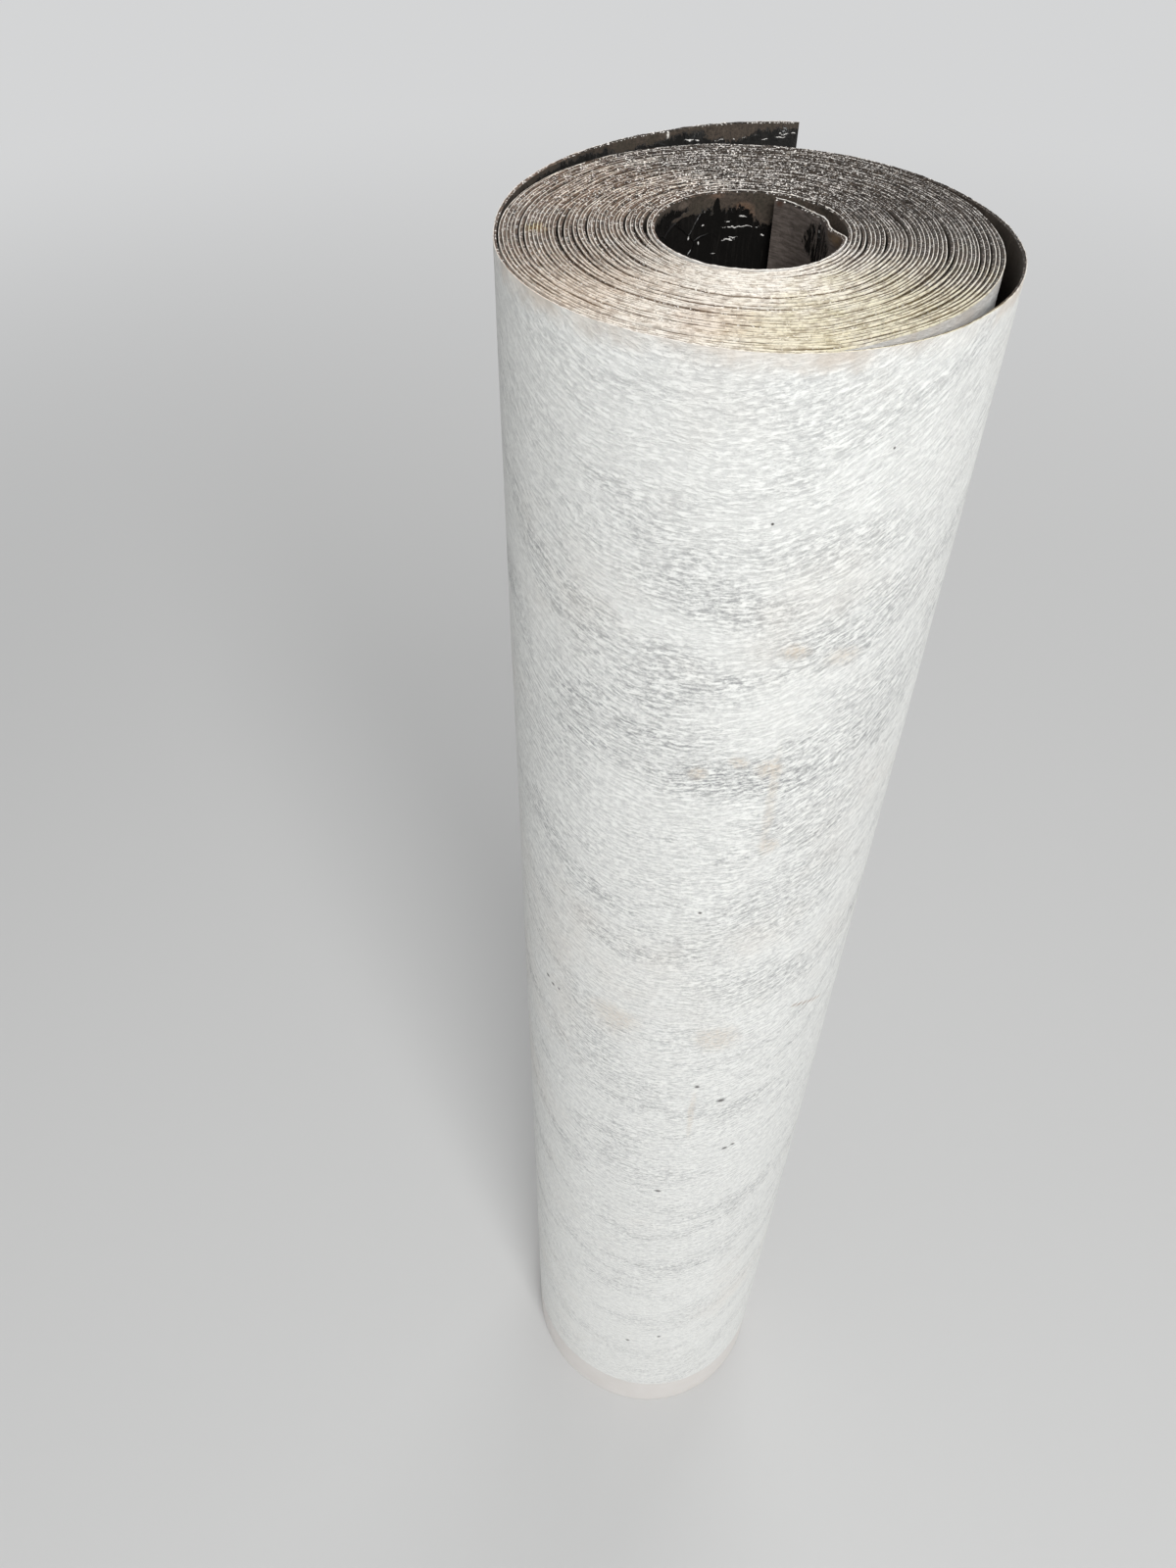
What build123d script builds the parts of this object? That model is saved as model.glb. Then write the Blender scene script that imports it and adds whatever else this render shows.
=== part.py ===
from build123d import *
from math import atan2, cos, degrees, radians, sin
import os

# Roll of roofing felt, standing on one end, in millimetres.
# The sheet winds outwards clockwise as seen from above.
# Angles are in degrees about the upright axis, anticlockwise from +X.

# The sheet
sheet_width = 1000.0
sheet_thickness = 1.5
air_gap = 0.13

# The tight coil
bore_radius = 36.0
coil_turns = 35
seam_angle = 67.0

# Cut edges of the sheet, which show each turn as a step on both ends
top_step = 0.7
foot_bevel = 0.5
foot_step = 0.6

# The outermost turn, which has sprung open
bulge_gap = 6.5
bulge_ease_back = 10.0
bulge_ease_front = 30.0
lift_angle = 190.0
lift_ease = 25.0
lift_sweep = 98.0

# The innermost end, which has creased and sprung into the bore
crease_angle = 3.0
tip_angle = 76.0
tip_clearance = 1.5
tongue_radius = 55.0
crease_lap = 4.0

pitch = sheet_thickness + air_gap
coil_radius = bore_radius + coil_turns * pitch


def toward(angle, distance):
    """Point at a distance from the coil's axis, in the direction of an angle."""
    return Vector(distance * cos(radians(angle)), distance * sin(radians(angle)))


# A spiral of half circles: the two halves of the coil turn about two axes half a pitch apart,
# so that each turn of one half runs on into the next turn of the other.
right_axis = toward(seam_angle, -pitch / 4)
left_axis = toward(seam_angle, pitch / 4)
left_radius = coil_radius + pitch / 2


def turned(section, axis, start, end):
    """Closed outline of (radius, height) points, turned about an upright axis from start to end."""
    face = Plane.XZ * make_face(Polyline(*section, close=True))
    ring = revolve(face, Axis.Z, revolution_arc=end - start)
    return Pos(axis.X, axis.Y) * Rot(Z=start) * ring


def sheet_section(inner, thickness=sheet_thickness):
    """The sheet cut across: its outer face is the taller, and its foot is pressed flat."""
    outer = inner + thickness
    return [
        (inner, foot_step),
        (inner + foot_bevel, 0),
        (outer, 0),
        (outer, sheet_width),
        (inner, sheet_width - top_step),
    ]


def coil_section(inner):
    """All turns of one half of the coil, cut across.

    On top each turn slopes up to its outer edge and steps down to the next. At the foot, where
    the roll's weight presses the turns together, only every other gap is open.
    """
    inner_edges = [inner + turn * pitch for turn in range(coil_turns)]
    outer_edges = inner_edges[1:] + [inner_edges[-1] + sheet_thickness]
    top = []
    for inner_edge, outer_edge in zip(inner_edges, outer_edges):
        top += [(inner_edge, sheet_width - top_step), (outer_edge, sheet_width)]
    foot = [(inner, foot_step), (inner + foot_bevel, 0)]
    for inner_edge in inner_edges[2::2]:
        foot += [(inner_edge, 0), (inner_edge, foot_step), (inner_edge + foot_bevel, 0)]
    foot.append((outer_edges[-1], 0))
    return foot + top[::-1]


def coil_halves():
    """The tight turns: two half rings that meet on the seam's plane."""
    right = turned(coil_section(bore_radius), right_axis, seam_angle - 180, seam_angle)
    left = turned(coil_section(bore_radius + pitch / 2), left_axis, seam_angle, seam_angle + 180)
    return right, left


def bulge_side(ease, side):
    """One side of the bulge: a flat arc that leaves the coil, and a tight one up to the crest.

    The two are tangent, and so is each with what it runs on from. Ease is how much larger
    than the coil's the flat arc's radius is. Side is 1 towards the seam and -1 away from it.
    """
    crest = seam_angle - 90
    leave = crest + side * 90
    inset = bulge_gap * (2 * ease - bulge_gap) / (2 * (ease - bulge_gap))
    turn_over = leave - side * degrees(atan2(inset, ease))
    flat = sheet_section(coil_radius + ease)
    tight = sheet_section(coil_radius + bulge_gap - inset)
    flat_axis = right_axis + toward(leave, -ease)
    tight_axis = right_axis + toward(crest, inset)
    return [
        turned(flat, flat_axis, *sorted((turn_over, leave))),
        turned(tight, tight_axis, *sorted((crest, turn_over))),
    ]


def outer_turn():
    """The last turn: bulging from the coil on one side, lying on it, then lifting clear."""
    pressed = sheet_section(left_radius - air_gap, sheet_thickness + air_gap)
    lifted = sheet_section(left_radius + lift_ease)
    lifted_axis = left_axis + toward(lift_angle, -lift_ease)
    return [
        *bulge_side(bulge_ease_back, 1),
        *bulge_side(bulge_ease_front, -1),
        turned(pressed, left_axis, lift_angle, seam_angle + 180),
        turned(lifted, lifted_axis, lift_angle - lift_sweep, lift_angle),
    ]


def tongue_room():
    """The part of the first turn that is no longer against the wall of the bore."""
    radii = (bore_radius - pitch, bore_radius + pitch)
    below = [(radius, -pitch) for radius in radii]
    above = [(radius, sheet_width + pitch) for radius in reversed(radii)]
    return turned(below + above, right_axis, crease_angle, seam_angle)


def tongue():
    """The inner end of the sheet, from its crease to its tip, on one arc."""
    root = right_axis + toward(crease_angle, bore_radius)
    tip = right_axis + toward(tip_angle, bore_radius + pitch - tip_clearance - sheet_thickness)
    chord = tip - root
    rise = (tongue_radius**2 - (chord.length / 2) ** 2) ** 0.5
    across = Vector(-chord.Y, chord.X).normalized()
    axis = (root + tip) * 0.5 + across * rise
    start = degrees(atan2(root.Y - axis.Y, root.X - axis.X))
    end = degrees(atan2(tip.Y - axis.Y, tip.X - axis.X))
    return turned(sheet_section(tongue_radius), axis, start - crease_lap, end)


def felt_roll():
    """The whole roll, one solid, standing with the middle of its foot at the origin."""
    right, left = coil_halves()
    roll = (right - tongue_room()) + [left, tongue(), *outer_turn()]
    box = roll.bounding_box()
    return Pos(-box.center().X, -box.center().Y, -box.min.Z) * roll


os.makedirs("parts", exist_ok=True)
export_step(felt_roll(), "parts/felt_roll.step")
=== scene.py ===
from math import cos, radians, sin

import bpy
import numpy as np
from mathutils import Matrix, Vector


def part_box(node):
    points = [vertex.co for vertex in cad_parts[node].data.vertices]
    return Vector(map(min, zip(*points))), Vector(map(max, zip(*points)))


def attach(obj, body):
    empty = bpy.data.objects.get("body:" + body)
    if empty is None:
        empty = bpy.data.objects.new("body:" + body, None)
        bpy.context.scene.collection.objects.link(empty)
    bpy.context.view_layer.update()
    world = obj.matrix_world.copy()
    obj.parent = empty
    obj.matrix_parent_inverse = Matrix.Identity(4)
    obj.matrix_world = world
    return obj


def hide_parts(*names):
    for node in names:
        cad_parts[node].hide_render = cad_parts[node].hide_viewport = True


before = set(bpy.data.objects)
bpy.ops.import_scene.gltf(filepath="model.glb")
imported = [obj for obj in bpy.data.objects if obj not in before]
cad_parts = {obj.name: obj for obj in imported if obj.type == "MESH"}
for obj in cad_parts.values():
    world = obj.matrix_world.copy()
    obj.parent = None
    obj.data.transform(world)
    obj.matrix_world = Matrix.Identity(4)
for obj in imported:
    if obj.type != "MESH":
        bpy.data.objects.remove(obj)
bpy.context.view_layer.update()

# The roll's own sizes, in millimetres and degrees, as its CAD source has them.
# The sheet winds outwards clockwise as seen from above. A station's turn is how many degrees it
# has wound since the seam, and its angle is where that is, anticlockwise from +X.
SHEET_WIDTH = 1000.0
PITCH = 1.63
BORE_RADIUS = 36.0
COIL_TURNS = 35
SEAM = 67.0
BULGE_GAP = 6.5
BULGE_EASE_BACK = 10.0
BULGE_EASE_FRONT = 30.0
LIFT_ANGLE = 190.0
LIFT_EASE = 25.0
LIFT_SWEEP = 96.2
COIL_RADIUS = BORE_RADIUS + COIL_TURNS * PITCH
LEFT_RADIUS = COIL_RADIUS + PITCH / 2

# The felt itself: a film of bitumen on its inner face, a fleece on its outer one. GROOVE is how
# deep the gaps between the turns are open, and SELVEDGE how high the plain band at the foot is.
FELT = 1.25
LOOSE_FELT = 1.4
GROOVE = 7.0
SELVEDGE = 41.0

# The coil's stations: degrees between two of them, their number in a turn, and where the inner
# length, the coil and the loose turn start
STEP = 2.5
TURN = int(360 / STEP)
INNER_START = 73.0
COIL_START = 425.0
COIL_END = 12517.5
# How far round from +X the coil's own wall shows in the gap that the loose turn leaves
BULGE_REACH = 98.0
# The run of the inner length starts here, in metres, away from the run of the loose turn
INNER_RUN = 20.0
# The stations of the first turn, in degrees, and of the tongue, in millimetres
INNER_STEP = 2.0
TONGUE_STEP = 0.8
# The gaps between turns are never narrower than this
LEAST_GAP = 0.05
# Faces that meet at a larger angle than this keep a sharp edge
SHARP = 38.0

# The material slots of every piece
FLEECE, EDGE, FILM, RIM = 0, 1, 2, 3

# How far across the felt from its film to its fleece, and up from the top of the turn: the cut
# edge slopes up to the fleece, which stands proud of it as a soft lip.
TOP_PROFILE = [
    (0.00, -0.46, FILM), (0.08, -0.33, EDGE), (0.28, -0.26, EDGE), (0.50, -0.22, EDGE),
    (0.68, -0.18, EDGE), (0.73, -0.03, EDGE), (0.79, 0.00, RIM), (0.93, -0.02, RIM),
    (1.00, -0.15, RIM),
]
# The points of a profile between these shares of the felt are where its lip of fleece starts
LIP_START = (0.6, 0.8)
# How far down the lip reaches on its outer face. Below it, down the groove, the fleece wall takes the
# dark cut-edge material: partly dirt, partly painted shade in the gap between turns.
RIM_DEPTH = 0.58
# On the innermost turn the fleece stands further proud of the bitumen.
INNER_PROFILE = [
    (0.00, -0.72, FILM), (0.08, -0.60, EDGE), (0.26, -0.52, EDGE), (0.46, -0.46, EDGE),
    (0.64, -0.42, EDGE), (0.70, -0.12, EDGE), (0.75, 0.00, RIM), (0.92, -0.02, RIM),
    (1.00, -0.16, RIM),
]
FOOT_PROFILE = [
    (1.00, 0.22, FLEECE), (0.93, 0.00, EDGE), (0.64, 0.00, EDGE), (0.30, 0.00, EDGE),
    (0.00, 0.55, FILM),
]

# A turn's row in the coil's texture: the shares of the strips of its top and of its foot, the
# room between the two, and where the groove's floor and the end of the row come after the foot
TOP_SHARES = [0.6, *[1.0] * 8, 0.8, 0.6]
FOOT_SHARES = [0.3, 0.4, 0.5, 0.5, 0.4, 0.3]
ROW_GAP = 0.2
GROOVE_FLOOR = (0.05, 0.2)
ROW_END = 0.6
# How many rows the outermost turn's wall takes, and its margin at either side of them
WALL_ROWS = 5
WALL_MARGIN = 0.1
# Where the parts of a free length lie in its texture: a start and a size each
FILM_U, FLEECE_U, EDGE_U, CAP_U = (0.005, 0.41), (0.425, 0.57), (0.002, 0.996), (0.4175, 0.003)
FACE_V, TOP_V, FOOT_V = (0.0, 0.93), (0.955, 0.04), (0.935, 0.015)


def toward(angle, distance):
    return distance * np.array([cos(radians(angle)), sin(radians(angle))])


RIGHT_AXIS = toward(SEAM, -PITCH / 4)
LEFT_AXIS = toward(SEAM, PITCH / 4)


# Noise that comes out the same each run

def line_noise(x, seed, size=8192):
    """Smooth noise from -1 to 1 along a line, with one value a unit."""
    table = np.random.default_rng(seed).uniform(-1, 1, size)
    cell = np.floor(x).astype(int)
    part = x - cell
    part = part * part * (3 - 2 * part)
    return table[cell % size] * (1 - part) + table[(cell + 1) % size] * part


def field_noise(x, y, seed, size=512):
    """Smooth noise from -1 to 1 over a plane, with one value a unit."""
    table = np.random.default_rng(seed).uniform(-1, 1, (size, size))
    cx, cy = np.floor(x).astype(int), np.floor(y).astype(int)
    px, py = x - cx, y - cy
    px, py = px * px * (3 - 2 * px), py * py * (3 - 2 * py)
    low = table[cx % size, cy % size] * (1 - px) + table[(cx + 1) % size, cy % size] * px
    high = table[cx % size, (cy + 1) % size] * (1 - px) + table[(cx + 1) % size, (cy + 1) % size] * px
    return low * (1 - py) + high * py


def bell(distance, width):
    return np.exp(-(distance / width) ** 2)


# The plan of the sheet

def smooth_table(table, at):
    """Values between the entries of a table of places and values, without corners."""
    where, value = np.array(table, float).T
    fine = np.linspace(where[0], where[-1], 800)
    smooth = np.convolve(np.pad(np.interp(fine, where, value), 12, "edge"), np.ones(25) / 25, "valid")
    return np.interp(at, fine, smooth)


def around(angles, other):
    """How far apart two angles are, from -180 to 180."""
    return (np.asarray(angles) - other + 180) % 360 - 180


def uneven_winding():
    """How far each station of the coil lies from an even spiral, in steps from the seam.

    The gaps between turns differ, and add up to the same in every direction.
    """
    count = COIL_TURNS * TURN
    step = np.arange(count)
    angle = SEAM - step * STEP
    turn = step / TURN
    wide = np.exp(1.3 * line_noise(step / 31, 11) + 0.9 * line_noise(step / 9, 12))
    for at, place, spread, much in WIDE_GAPS:
        wide += 0.35 * much * bell(around(angle, place), spread) * bell(turn - at, 0.45)
    slack = PITCH - FELT
    gaps = LEAST_GAP + wide * (slack - LEAST_GAP) / wide.mean()
    ease = np.clip(np.minimum(step, count - 1 - step) / TURN - 0.15, 0, 1)
    gaps = slack + (gaps - slack) * ease
    rows = gaps.reshape(COIL_TURNS, TURN)[:-1]
    spare = rows - LEAST_GAP
    rows = LEAST_GAP + spare * ((slack - LEAST_GAP) * len(rows) / spare.sum(0))
    offset = np.zeros((COIL_TURNS, TURN))
    offset[1:] = np.cumsum(rows - slack, axis=0)
    return np.append(offset.ravel(), offset[-1, -1])


# The turn, angle, spread of angle and strength of the gaps that stand out on the top
WIDE_GAPS = [
    (1.5, 178, 26, 9), (3.4, 186, 24, 9), (5.6, 180, 26, 8), (0.9, 8, 30, 6), (3.2, -4, 24, 7),
    (6.3, 12, 30, 5), (20.5, 262, 60, 9), (28.6, 200, 30, 6), (30.5, 352, 34, 6),
    (12.4, 205, 36, 5), (15.0, 330, 40, 5), (24.5, 20, 40, 4), (9.0, 80, 40, 3),
]
OFFSETS = uneven_winding()


def bore_shift(angle):
    """How far the wall of the bore lies outside a true circle: the roll is wound off centre."""
    turn = np.radians(angle)
    return -0.1 + 2.15 * np.sin(turn) - 0.1 * np.cos(turn) - 0.95 * np.cos(2 * turn)


# How far the outer turns have opened out towards the loose one, by angle
OPENED = [
    (180, 0), (195, 0.2), (210, 0.6), (230, 0.75), (240, 0.85), (250, 1.1), (260, 1.75), (270, 2.75),
    (280, 3.6), (288, 3.9), (293, 3.0), (298, 1.7), (304, 0.6), (314, 0),
]


def off_centre(xy):
    """Moves plan points with the bore's shift, which fades out towards the outer turns."""
    radius = np.hypot(xy[:, 0], xy[:, 1])
    angle = np.degrees(np.arctan2(xy[:, 1], xy[:, 0]))
    share = np.clip((COIL_RADIUS - radius) / (COIL_RADIUS - BORE_RADIUS), 0, 1.1)
    opened = smooth_table(OPENED, angle % 360) * np.clip(1 - share, 0, 1) ** 1.5
    return xy * ((radius + bore_shift(angle) * share + opened) / radius)[:, None]


def coil_plan(turn):
    """Inner and outer plan points of the coil's stations, given how far each has wound."""
    half = np.minimum(np.floor(turn / 180), 2 * COIL_TURNS - 1)
    left = half % 2 == 1
    angle = np.where(left, SEAM + 180, SEAM) - (turn - 180 * half)
    radius = BORE_RADIUS + (half // 2) * PITCH + np.where(left, PITCH / 2, 0)
    radius = radius + np.interp(turn / STEP, np.arange(len(OFFSETS)), OFFSETS)
    axis = np.where(left[:, None], LEFT_AXIS, RIGHT_AXIS)
    ray = np.stack([np.cos(np.radians(angle)), np.sin(np.radians(angle))], 1)
    inner = off_centre(axis + ray * radius[:, None])
    outer = off_centre(axis + ray * (radius + FELT)[:, None])
    return inner, outer


def bulge_arcs(ease, side):
    """One side of the bulge as in the CAD: a flat arc off the coil and a tight one to the crest."""
    crest = SEAM - 90
    leave = crest + side * 90
    inset = BULGE_GAP * (2 * ease - BULGE_GAP) / (2 * (ease - BULGE_GAP))
    turn_over = leave - side * np.degrees(np.arctan2(inset, ease))
    flat = (RIGHT_AXIS + toward(leave, -ease), COIL_RADIUS + ease, leave, turn_over)
    tight = (RIGHT_AXIS + toward(crest, inset), COIL_RADIUS + BULGE_GAP - inset, turn_over, crest)
    return flat, tight


# Where the loose turn is looked at against the photograph: its angle since the seam, clockwise,
# and how much further out its face is there than the CAD's arcs
LOOSE_SHIFT = [
    (-90, 0), (0, -0.05), (20, -0.15), (45, -0.2), (70, -0.24), (90, -0.35), (102, -0.8),
    (113, -0.25), (127, -0.2), (152, 0.7), (170, 1.1), (180, 0.75), (202, 0.6), (225, 0.6),
    (243, 0.05), (262, 0.3), (277, -0.4), (292, -0.3), (303, -0.8), (322, 0.0), (327, 1.2),
    (337, 1.6), (347, 2.4),
]


def loose_plan():
    """Plan points of the last turn, from under its own end, round the bulge, to its free end."""
    back_flat, back_tight = bulge_arcs(BULGE_EASE_BACK, 1)
    front_flat, front_tight = bulge_arcs(BULGE_EASE_FRONT, -1)
    lifted = LEFT_AXIS + toward(LIFT_ANGLE, -LIFT_EASE)
    arcs = [
        back_flat, back_tight,
        (front_tight[0], front_tight[1], front_tight[3], front_tight[2]),
        (front_flat[0], front_flat[1], front_flat[3], front_flat[2]),
        (LEFT_AXIS, LEFT_RADIUS, SEAM + 180, LIFT_ANGLE),
        (lifted, LEFT_RADIUS + LIFT_EASE, LIFT_ANGLE, LIFT_ANGLE - LIFT_SWEEP),
    ]
    lead = np.arange(COIL_END, COIL_TURNS * 360, 1.0)
    inner, outer = coil_plan(lead)
    inner, outer = [inner], [outer]
    for number, (axis, radius, start, end) in enumerate(arcs, 1):
        angle = np.radians(np.linspace(start, end, int(round(abs(end - start))) + 1))
        if number < len(arcs):
            angle = angle[:-1]
        ray = np.stack([np.cos(angle), np.sin(angle)], 1)
        inner.append(axis + ray * (radius + LOOSE_FELT - FELT))
        outer.append(axis + ray * (radius + LOOSE_FELT))
    inner, outer = np.concatenate(inner), np.concatenate(outer)
    middle = (inner + outer) / 2
    polar = np.degrees(np.unwrap(np.arctan2(middle[:, 1], middle[:, 0])))
    wound = polar[len(lead)] - polar
    move = (outer - inner) / FELT * smooth_table(LOOSE_SHIFT, wound)[:, None]
    return inner + move, outer + move, COIL_END + (polar[0] - polar)


# The fleece side of the tongue in plan, from its tip to the kink where the first turn starts
TONGUE = [
    (9.0, 35.3), (13.0, 33.0), (16.4, 30.4), (20.8, 26.0), (24.7, 21.4), (27.4, 18.0),
    (28.9, 14.0), (29.5, 9.9), (30.6, 6.4), (32.5, 3.6), (34.4, 1.2), (35.6, -1.4),
]


def smooth_line(points, spacing):
    """A smooth curve through plan points, with points at an even spacing."""
    p = np.array(points, float)
    p = np.vstack([2 * p[0] - p[1], p, 2 * p[-1] - p[-2]])
    t = np.linspace(0, 1, 24, endpoint=False)[:, None]
    rows = []
    for a, b, c, d in zip(p, p[1:], p[2:], p[3:]):
        rows.append(0.5 * (2 * b + (c - a) * t + (2 * a - 5 * b + 4 * c - d) * t**2
                           + (3 * b - a - 3 * c + d) * t**3))
    line = np.vstack([*rows, p[-2:-1]])
    run = np.append(0, np.cumsum(np.hypot(*np.diff(line, axis=0).T)))
    even = np.linspace(0, run[-1], int(run[-1] / spacing) + 1)
    return np.stack([np.interp(even, run, line[:, n]) for n in (0, 1)], 1)


def inner_plan():
    """Plan points of the tongue and of the first turn."""
    turn = np.arange(INNER_START, COIL_START + 0.1, INNER_STEP)
    inner, outer = coil_plan(turn)
    line = smooth_line([*TONGUE, *outer[::4][:3]], TONGUE_STEP)
    reach = np.hypot(*(line - outer[0]).T).argmin()
    line = line[:reach]
    along = np.gradient(line, axis=0)
    along /= np.hypot(*along.T)[:, None]
    out = np.stack([-along[:, 1], along[:, 0]], 1)
    wound = turn[0] - (len(line) - np.arange(len(line))) * 1.2
    return (np.vstack([line - out * FELT, inner]), np.vstack([line, outer]),
            np.append(wound, turn))


def run_length(plan, start=0.0):
    return start + np.append(0, np.cumsum(np.hypot(*np.diff(plan, axis=0).T)))


def top_height(turn):
    """The top of each station's fleece. The turns stand a little higher and lower than each other."""
    slow = 0.34 * line_noise(turn / 95 + 7, 21) + 0.2 * line_noise(turn / 31, 22)
    quick = 0.12 * line_noise(turn / 9, 23) + 0.06 * line_noise(turn / 3.1, 24)
    return SHEET_WIDTH - 0.45 + slow + quick


# Meshes

def new_mesh(name, points, faces, kinds, materials, sheet_uv, bake_uv):
    """A mesh object from points in millimetres, with a material and two UV maps for each corner."""
    mesh = bpy.data.meshes.new(name)
    points = np.asarray(points, float).copy()
    points[:, :2] += PLAN_SHIFT
    mesh.from_pydata((points / 1000).tolist(), [], faces)
    mesh.polygons.foreach_set("material_index", np.asarray(kinds, np.int32))
    mesh.polygons.foreach_set("use_smooth", np.ones(len(faces), bool))
    for label, values in (("sheet", sheet_uv), ("OFBake", bake_uv)):
        layer = mesh.uv_layers.new(name=label)
        layer.uv.foreach_set("vector", np.asarray(values, np.float32).ravel())
    for material in materials:
        mesh.materials.append(material)
    mesh.update()
    mesh.set_sharp_from_angle(angle=radians(SHARP))
    if mesh.validate():
        raise ValueError(f"{name}: faces that aren't sound")
    piece = bpy.data.objects.new(name, mesh)
    bpy.context.scene.collection.objects.link(piece)
    return piece


def profile_noise(count, seed):
    """Small heights that roughen the cut edge: one row for each point of the top profile."""
    rng = np.random.default_rng(seed)
    rough = np.array([0.02, 0.05, 0.09, 0.10, 0.08, 0.09, 0.08, 0.07, 0.05])
    return rng.normal(0, 1, (count, len(rough))) * rough


def as_points(xy, z):
    return np.column_stack([xy, np.broadcast_to(z, len(xy))])


def end_profiles(inner, outer, turn, seed, profile=TOP_PROFILE, wider=0.0):
    """Points of the top and foot profiles at each station, station by station.

    The lip of fleece is wider by a share of the felt, which can differ between stations.
    """
    top = top_height(turn)
    rough = profile_noise(len(turn), seed)
    tops = []
    for n, (x, z, kind) in enumerate(profile):
        share = (x - wider if LIP_START[0] < x < LIP_START[1] else x) + 0 * turn
        tops.append(as_points(inner + (outer - inner) * share[:, None], top + z + rough[:, n]))
    feet = [as_points(inner + (outer - inner) * x, z) for x, z, kind in FOOT_PROFILE]
    return np.stack(tops, 1), np.stack(feet, 1)


def build_coil(materials):
    """The tight turns: a closed ring whose turns show as grooves and lips on both ends."""
    turn = np.arange(COIL_START, COIL_END + 0.1, STEP)
    inner, outer = coil_plan(turn)
    count = len(turn)
    tops, feet = end_profiles(inner, outer, turn, 31)
    depth = SHEET_WIDTH - GROOVE
    # How far down the rim reaches before the painted gap shade starts, deeper at the front so the dark
    # lines there are thinner
    gap_shade_depth = RIM_DEPTH + 0.16 * bell(around(SEAM - turn, -80), 50)
    gap_shade_depth += 0.20 * line_noise(turn / 37, 27) + 0.16 * line_noise(turn / 11, 25)
    gap_shade_depth += 0.12 * line_noise(turn / 4.3, 26)
    ring = np.concatenate([
        as_points(inner, depth)[:, None], tops,
        as_points(outer, top_height(turn) - gap_shade_depth)[:, None], as_points(outer, depth)[:, None],
        as_points(outer, GROOVE)[:, None], feet, as_points(inner, GROOVE)[:, None],
    ], 1)
    size = ring.shape[1]
    top_in, top_out = 0, len(TOP_PROFILE) + 2
    foot_out, foot_in = top_out + 1, size - 1
    # The outer wall below the rim takes the dark cut-edge material: partly dirt, partly painted shade in
    # the gaps between turns
    kinds_up = [FILM, *[k for x, z, k in TOP_PROFILE[1:]], RIM, EDGE]
    kinds_down = [FLEECE, *[k for x, z, k in FOOT_PROFILE[1:]], FILM]
    run = run_length(outer) / 1000
    places = ring.reshape(-1, 3)

    faces, kinds, sheet, bake = [], [], [], []
    wall_row = len(turn) // TURN + 1
    rows = wall_row + WALL_ROWS + 1
    up_at = np.append(0, np.cumsum(TOP_SHARES))
    foot_at = up_at[-1] + ROW_GAP + np.append(0, np.cumsum(FOOT_SHARES))
    whole = foot_at[-1] + ROW_END

    def seen_kind(i, a, kind):
        """The last turn shows its fleece, up to the lip, where the loose turn bulges from it."""
        if a == top_out - 1 and i >= count - 1 - TURN:
            return FLEECE if abs(around(SEAM - turn[i], 0)) < BULGE_REACH else RIM
        return kind

    def strip(stations, a, b, kind, va, vb, shift=0, own_row=None):
        """Quads between points a and b of neighbouring stations, b's station shift further on.

        Each turn has a row of the texture, or all of them share a row of their own.
        """
        for i in stations:
            faces.append((i * size + a, (i + 1) * size + a,
                          (i + 1 + shift) * size + b, (i + shift) * size + b))
            kinds.append(seen_kind(i, a, kind))
            row, col = divmod(i, TURN)
            row = row if own_row is None else own_row
            u0, u1 = col / TURN, (col + 1) / TURN
            v0, v1 = (row + va / whole) / rows, (row + vb / whole) / rows
            bake.extend([(u0, v0), (u1, v0), (u1, v1), (u0, v1)])
            for s, p in ((i, a), (i + 1, a), (i + 1 + shift, b), (i + shift, b)):
                sheet.append((run[s], places[s * size + p, 2] / 1000))

    every = range(count - 1)
    for n, kind in enumerate(kinds_up):
        strip(every, n, n + 1, kind, up_at[n], up_at[n + 1])
    for n, kind in enumerate(kinds_down):
        strip(every, foot_out + n, foot_out + n + 1, kind, foot_at[n], foot_at[n + 1])
    inside = range(count - 1 - TURN)
    strip(inside, top_out, top_in, EDGE, *(foot_at[-1] + np.array(GROOVE_FLOOR)), TURN)

    strip(range(count - 1 - TURN, count - 1), top_out, foot_out, FLEECE,
          (WALL_ROWS - WALL_MARGIN) * whole, WALL_MARGIN * whole, own_row=wall_row)

    def add(corners, kind):
        """A face that is out of sight: each material has one patch of the texture for all of them."""
        faces.append(tuple(corners))
        kinds.append(kind)
        for n, c in enumerate(corners):
            sheet.append((0.0, places[c, 2] / 1000))
            bake.append((0.1 * kind + 0.02 * (1 + n % 2), 1 - (0.3 + 0.4 * (n // 2 % 2)) / rows))

    # The gaps of the foot join the outer wall of one turn to the inner wall of the next.
    for i in inside:
        j = i + TURN
        add((j * size + foot_in, (j + 1) * size + foot_in, (i + 1) * size + foot_out,
             i * size + foot_out), EDGE)
    for i in range(TURN):
        add((i * size + foot_in, (i + 1) * size + foot_in, (i + 1) * size + top_in,
             i * size + top_in), FILM)
    start, turned = list(range(size)), TURN * size
    add([*start[:top_out + 1], turned + top_in, turned + foot_in, *start[foot_out:]][::-1], EDGE)
    last, before = (count - 1) * size, (count - 1 - TURN) * size
    add([before + top_out, *range(last, last + size), before + foot_out], EDGE)
    return new_mesh("felt_coil", places, faces, kinds, materials, sheet, bake)


def within(part, share):
    """A place in a part of the texture, which is given as its start and its size."""
    return part[0] + part[1] * share


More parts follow.
